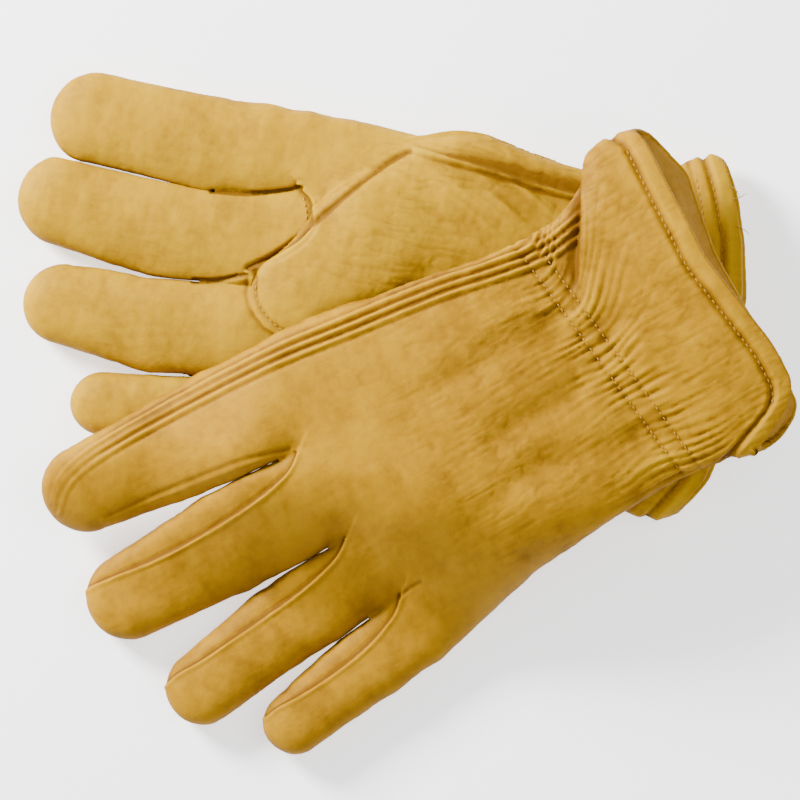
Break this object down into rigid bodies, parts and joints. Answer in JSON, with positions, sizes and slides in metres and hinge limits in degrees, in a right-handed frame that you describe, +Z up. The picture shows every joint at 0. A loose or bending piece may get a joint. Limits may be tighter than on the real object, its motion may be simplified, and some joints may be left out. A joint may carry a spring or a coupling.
{
  "type": "work gloves",
  "caption": "Pair of golden-yellow leather driver work gloves lying crossed, one palm up and one back up, with gathered wrists and hemmed cuffs.",
  "frame": {"origin": "centre of the pair's bounding box, at the surface it lies on", "axes": "+X towards the cuffs, +Y towards the right glove's index finger, +Z up"},
  "size_m": [0.2748, 0.2466, 0.0577],
  "materials": {
    "left_back_panel__hide_back": "satin",
    "left_cuff_hem__hide_hem": "satin",
    "left_elastic_stitches_cuff_side__thread": "satin",
    "left_elastic_stitches_hand_side__thread": "satin",
    "left_hem_stitches__thread": "satin",
    "left_index_back__hide_back": "satin",
    "left_index_palm__hide_palm": "satin",
    "left_index_strip_little_side__hide_strip": "satin",
    "left_index_welt__hide_welt": "satin",
    "left_little_back__hide_back": "satin",
    "left_little_palm__hide_palm": "satin",
    "left_little_strip_thumb_side__hide_strip": "satin",
    "left_middle_back__hide_back": "satin",
    "left_middle_palm__hide_palm": "satin",
    "left_middle_strip_little_side__hide_strip": "satin",
    "left_middle_strip_thumb_side__hide_strip": "satin",
    "left_palm_panel__hide_palm": "satin",
    "left_ring_back__hide_back": "satin",
    "left_ring_palm__hide_palm": "satin",
    "left_ring_strip_little_side__hide_strip": "satin",
    "left_ring_strip_thumb_side__hide_strip": "satin",
    "left_side_welt__hide_welt": "satin",
    "left_thumb_inner__hide_palm": "satin",
    "left_thumb_outer__hide_thumb": "satin",
    "left_wrist_elastic__elastic": "matte",
    "right_back_panel__hide_back": "satin",
    "right_cuff_hem__hide_hem": "satin",
    "right_hem_stitches__thread": "satin",
    "right_index_back__hide_back": "satin",
    "right_index_palm__hide_palm": "satin",
    "right_index_root__hide_palm": "satin",
    "right_index_strip_little_side__hide_strip": "satin",
    "right_index_welt__hide_welt": "satin",
    "right_little_back__hide_back": "satin",
    "right_little_palm__hide_palm": "satin",
    "right_little_strip_thumb_side__hide_strip": "satin",
    "right_middle_back__hide_back": "satin",
    "right_middle_palm__hide_palm": "satin",
    "right_middle_root__hide_palm": "satin",
    "right_middle_strip_little_side__hide_strip": "satin",
    "right_middle_strip_thumb_side__hide_strip": "satin",
    "right_palm_panel__hide_palm": "satin",
    "right_ring_back__hide_back": "satin",
    "right_ring_palm__hide_palm": "satin",
    "right_ring_root__hide_palm": "satin",
    "right_ring_strip_little_side__hide_strip": "satin",
    "right_ring_strip_thumb_side__hide_strip": "satin",
    "right_side_welt__hide_welt": "satin",
    "right_thumb_inner__hide_palm": "satin",
    "right_thumb_outer__hide_thumb": "satin",
    "right_wrist_elastic__elastic": "matte"
  },
  "bodies": {
    "right_glove": {"right_back_panel": "right_back_panel__hide_back", "right_cuff_hem": "right_cuff_hem__hide_hem", "right_hem_stitches": "right_hem_stitches__thread", "right_index_root": "right_index_root__hide_palm", "right_little_back": "right_little_back__hide_back", "right_little_palm": "right_little_palm__hide_palm", "right_little_strip_thumb_side": "right_little_strip_thumb_side__hide_strip", "right_middle_root": "right_middle_root__hide_palm", "right_palm_panel": "right_palm_panel__hide_palm", "right_ring_root": "right_ring_root__hide_palm", "right_side_welt": "right_side_welt__hide_welt", "right_thumb_inner": "right_thumb_inner__hide_palm", "right_thumb_outer": "right_thumb_outer__hide_thumb", "right_wrist_elastic": "right_wrist_elastic__elastic"},
    "left_glove": {"left_back_panel": "left_back_panel__hide_back", "left_cuff_hem": "left_cuff_hem__hide_hem", "left_elastic_stitches_cuff_side": "left_elastic_stitches_cuff_side__thread", "left_elastic_stitches_hand_side": "left_elastic_stitches_hand_side__thread", "left_hem_stitches": "left_hem_stitches__thread", "left_palm_panel": "left_palm_panel__hide_palm", "left_side_welt": "left_side_welt__hide_welt", "left_thumb_inner": "left_thumb_inner__hide_palm", "left_thumb_outer": "left_thumb_outer__hide_thumb", "left_wrist_elastic": "left_wrist_elastic__elastic"},
    "left_index": {"left_index_back": "left_index_back__hide_back", "left_index_palm": "left_index_palm__hide_palm", "left_index_strip_little_side": "left_index_strip_little_side__hide_strip", "left_index_welt": "left_index_welt__hide_welt"},
    "left_little": {"left_little_back": "left_little_back__hide_back", "left_little_palm": "left_little_palm__hide_palm", "left_little_strip_thumb_side": "left_little_strip_thumb_side__hide_strip"},
    "left_middle": {"left_middle_back": "left_middle_back__hide_back", "left_middle_palm": "left_middle_palm__hide_palm", "left_middle_strip_little_side": "left_middle_strip_little_side__hide_strip", "left_middle_strip_thumb_side": "left_middle_strip_thumb_side__hide_strip"},
    "left_ring": {"left_ring_back": "left_ring_back__hide_back", "left_ring_palm": "left_ring_palm__hide_palm", "left_ring_strip_little_side": "left_ring_strip_little_side__hide_strip", "left_ring_strip_thumb_side": "left_ring_strip_thumb_side__hide_strip"},
    "right_index": {"right_index_back": "right_index_back__hide_back", "right_index_palm": "right_index_palm__hide_palm", "right_index_strip_little_side": "right_index_strip_little_side__hide_strip", "right_index_welt": "right_index_welt__hide_welt"},
    "right_middle": {"right_middle_back": "right_middle_back__hide_back", "right_middle_palm": "right_middle_palm__hide_palm", "right_middle_strip_little_side": "right_middle_strip_little_side__hide_strip", "right_middle_strip_thumb_side": "right_middle_strip_thumb_side__hide_strip"},
    "right_ring": {"right_ring_back": "right_ring_back__hide_back", "right_ring_palm": "right_ring_palm__hide_palm", "right_ring_strip_little_side": "right_ring_strip_little_side__hide_strip", "right_ring_strip_thumb_side": "right_ring_strip_thumb_side__hide_strip"}
  },
  "joints": [
    {"name": "left_glove_lift", "type": "slide", "parent": "right_glove", "child": "left_glove", "axis": [0, 0, 1], "range_m": [0, 0.12]},
    {"name": "left_index_bend", "type": "hinge", "parent": "left_glove", "child": "left_index", "pos_m": [-0.05432, 0.00084, 0.04871], "axis": [-0.4848, 0.8746, 0], "range_deg": [0, 60]},
    {"name": "left_little_bend", "type": "hinge", "parent": "left_glove", "child": "left_little", "pos_m": [-0.0073, -0.084, 0.01591], "axis": [-0.4848, 0.8746, 0], "range_deg": [0, 60]},
    {"name": "left_middle_bend", "type": "hinge", "parent": "left_glove", "child": "left_middle", "pos_m": [-0.03639, -0.03152, 0.04779], "axis": [-0.4848, 0.8746, 0], "range_deg": [0, 60]},
    {"name": "left_ring_bend", "type": "hinge", "parent": "left_glove", "child": "left_ring", "pos_m": [-0.02063, -0.05994, 0.03139], "axis": [-0.4848, 0.8746, 0], "range_deg": [0, 60]},
    {"name": "right_index_bend", "type": "hinge", "parent": "right_glove", "child": "right_index", "pos_m": [-0.06601, 0.09523, 0.01498], "axis": [0.1736, 0.9848, 0], "range_deg": [0, 60]},
    {"name": "right_middle_bend", "type": "hinge", "parent": "right_glove", "child": "right_middle", "pos_m": [-0.07251, 0.05832, 0.015], "axis": [0.1736, 0.9848, 0], "range_deg": [0, 60]},
    {"name": "right_ring_bend", "type": "hinge", "parent": "right_glove", "child": "right_ring", "pos_m": [-0.07833, 0.02535, 0.015], "axis": [0.1736, 0.9848, 0], "range_deg": [0, 60]}
  ]
}
